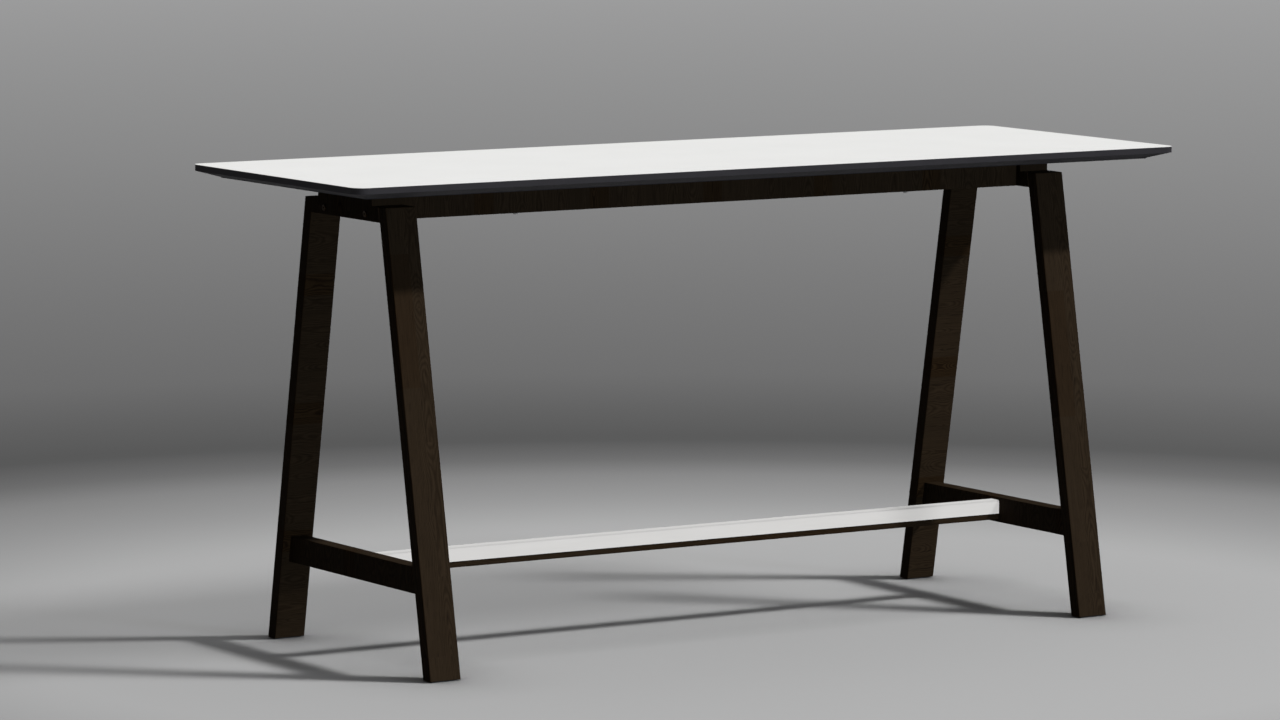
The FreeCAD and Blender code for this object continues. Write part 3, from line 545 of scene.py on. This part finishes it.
# What lights each group of pieces; every group has suns of its own, which keeps the picture free of noise.
GROUP_SUNS = {
    "laminate": ("key", "front_fill", "overhead"),
    "edge": ("key", "front_fill", "rear_fill", "under_fill"),
    "frame": ("key", "front_fill", "rear_fill"),
    "cap": ("cap_front", "cap_top"),
    "floor": ("front_fill", "overhead"),
}
SUN_DISTANCE = 6
# The front fill is cooler on the frame than on the other pieces.
FRAME_FILL_COLOUR = (0.89, 1.02, 1.15)
FRONT_FILL_COLOUR = (0.98, 1.0, 1.11)
# Round lamps to the right of the table and in front of it: what each lights, its strength and its radius
LAMP_PLACE = (7.01, -5.46, 9.48)
LAMPS = {
    "floor_key": ("floor", 2.0, 0.8),
    "floor_soft": ("floor", 1.2, 1.6),
    "cap_key": ("cap", 1.0, 0.8),
}
SKY_STRENGTH = 0.065

CAMERA_PLACE = (-6.89419, -10.92600, 2.04059)
# Degrees by which the camera looks down, and to the right of straight ahead
CAMERA_DOWN = 6.506
CAMERA_RIGHT = 31.766
LENS_LENGTH = 173.83
FILM_WIDTH = 36.0
FARTHEST_SEEN = 300.0


def studio_floor():
    """Pale floor whose colour holds a painted pool of light round the table, which fades to a painted dark
    ring and pales far off, and painted shade where pieces stand on it or close over it.
    """
    begin()
    bpy.ops.mesh.primitive_circle_add(vertices=96, radius=FLOOR_RADIUS, fill_type="NGON")
    floor = bpy.context.object
    floor.name = "studio_floor"
    material, tree, shader = new_material("studio_floor")
    place = add(tree, "ShaderNodeTexCoord").outputs["Object"]
    distance = add(tree, "ShaderNodeVectorMath", {"operation": "LENGTH"})
    feed(tree, distance, 0, place)
    share = add(tree, "ShaderNodeMapRange", Value=distance.outputs["Value"], From_Max=PAINTED_POOL_REACH)
    # Painted pool of light: the floor's colour is pale near the table, darkens to a ring further out and
    # pales again far off.
    pool = ramp(tree, share.outputs["Result"], PAINTED_POOL_TONES)
    grit = noise(tree, place, scale=35.0, detail=3.0, roughness=0.5)
    tone = blended(tree, 0.02, pool, ramp(tree, grit, ((0.3, 0.7), (0.7, 1.0))), "MULTIPLY")
    # Painted shade: the floor's colour darkens where the table's pieces stand on it or close over it.
    corner = add(tree, "ShaderNodeAmbientOcclusion", {"samples": 2}, Distance=PAINTED_SHADE_REACH)
    shade = ramp(tree, corner.outputs["AO"], ((0.45, 0.30), (1.0, 1.0)))
    tone = blended(tree, 1.0, tone, shade, "MULTIPLY")
    feed(tree, shader, "Base Color", tone)
    feed(tree, shader, "Roughness", 1.0)
    feed(tree, shader, "Specular IOR Level", 0.0)
    floor.data.materials.append(material)
    floor.visible_diffuse = False
    floor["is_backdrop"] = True
    return floor


def studio_sun(name, strength, angle, azimuth, elevation):
    """Even light from one side; a wider angle gives softer shadows."""
    light = bpy.data.lights.new(name, "SUN")
    light.energy = strength
    light.angle = math.radians(angle)
    sun = bpy.data.objects.new(name, light)
    bpy.context.scene.collection.objects.link(sun)
    around, rise = math.radians(azimuth), math.radians(elevation)
    towards = Vector((math.cos(around) * math.cos(rise), math.sin(around) * math.cos(rise), math.sin(rise)))
    sun.rotation_euler = towards.to_track_quat("Z", "Y").to_euler()
    sun.location = towards * SUN_DISTANCE
    return sun


def studio_lamp(name, strength, radius):
    """Round lamp that is as bright far off as near; a larger one gives softer shadows."""
    light = bpy.data.lights.new(name, "POINT")
    light.energy = strength * 4 * math.pi
    light.shadow_soft_size = radius
    light.use_nodes = True
    tree = light.node_tree
    falloff = add(tree, "ShaderNodeLightFalloff", Strength=1.0)
    feed(tree, tree.nodes["Emission"], "Strength", falloff.outputs["Constant"])
    lamp = bpy.data.objects.new(name, light)
    lamp.location = LAMP_PLACE
    bpy.context.scene.collection.objects.link(lamp)
    return lamp


def gathered(name, pieces):
    """Collection of objects that a light reaches or is stopped by."""
    collection = bpy.data.collections.new(name)
    for piece in pieces:
        collection.objects.link(piece)
    return collection


def light_studio(floor):
    """Lights the floor, the cap and the other pieces of the table apart from each other."""
    cap = nodes["footrest_cap"]
    upper_pieces = [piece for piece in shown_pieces() if piece != cap]
    low_pieces = [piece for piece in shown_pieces() if piece.name.startswith(("leg_", "lower_", "footrest_"))]
    laminate = [nodes["top_laminate"]]
    edge = [nodes["top_core"], nodes["top_backing"]]
    # Screw and bolt heads lie in the shade of the top, and show only what they mirror.
    unlit = [piece for piece in upper_pieces if piece.name.startswith(("top_screws", "rail_bolt"))]
    frame_pieces = [piece for piece in upper_pieces if piece not in laminate + edge + unlit]
    groups = {
        "laminate": gathered("lit_laminate", laminate),
        "edge": gathered("lit_edge", edge),
        "frame": gathered("lit_frame", frame_pieces),
        "cap": gathered("lit_cap", [cap]),
        "floor": gathered("lit_floor", [floor]),
    }
    cap_shadows = gathered("cap_shadows", [nodes["footrest_beam"]])
    # Lights that only some pieces stop
    blockers = {
        "under_fill": gathered("under_shadows", upper_pieces),
        "cap_front": cap_shadows,
        "cap_top": cap_shadows,
        "floor_key": gathered("floor_shadows", low_pieces),
    }
    for group, suns in GROUP_SUNS.items():
        for kind in suns:
            sun = studio_sun(f"{group}_{kind}", *SUNS[kind])
            sun.light_linking.receiver_collection = groups[group]
            sun.light_linking.blocker_collection = blockers.get(kind)
            if kind == "front_fill":
                sun.data.color = FRAME_FILL_COLOUR if group == "frame" else FRONT_FILL_COLOUR
                sun.data.use_shadow = group != "frame"
            if kind == "rear_fill":
                sun.visible_glossy = False
    for name, (group, strength, radius) in LAMPS.items():
        lamp = studio_lamp(name, strength, radius)
        lamp.light_linking.receiver_collection = groups[group]
        lamp.light_linking.blocker_collection = blockers.get(name)


def photo_camera():
    """Long lens from the front left, a little above the top."""
    lens = bpy.data.cameras.new("photo_camera")
    lens.sensor_width = FILM_WIDTH
    lens.lens = LENS_LENGTH
    lens.clip_end = FARTHEST_SEEN
    camera = bpy.data.objects.new("photo_camera", lens)
    camera.location = CAMERA_PLACE
    camera.rotation_euler = (math.radians(90 - CAMERA_DOWN), 0, math.radians(-CAMERA_RIGHT))
    bpy.context.scene.collection.objects.link(camera)
    bpy.context.scene.camera = camera


def studio_world():
    """Faint even white light from all round."""
    world = bpy.data.worlds.new("studio")
    world.use_nodes = True
    sky = world.node_tree.nodes["Background"]
    feed(world.node_tree, sky, "Color", (1.0, 1.0, 1.0, 1.0))
    feed(world.node_tree, sky, "Strength", SKY_STRENGTH)
    bpy.context.scene.world = world


light_studio(studio_floor())
photo_camera()
studio_world()
bpy.context.scene.view_settings.view_transform = "Standard"
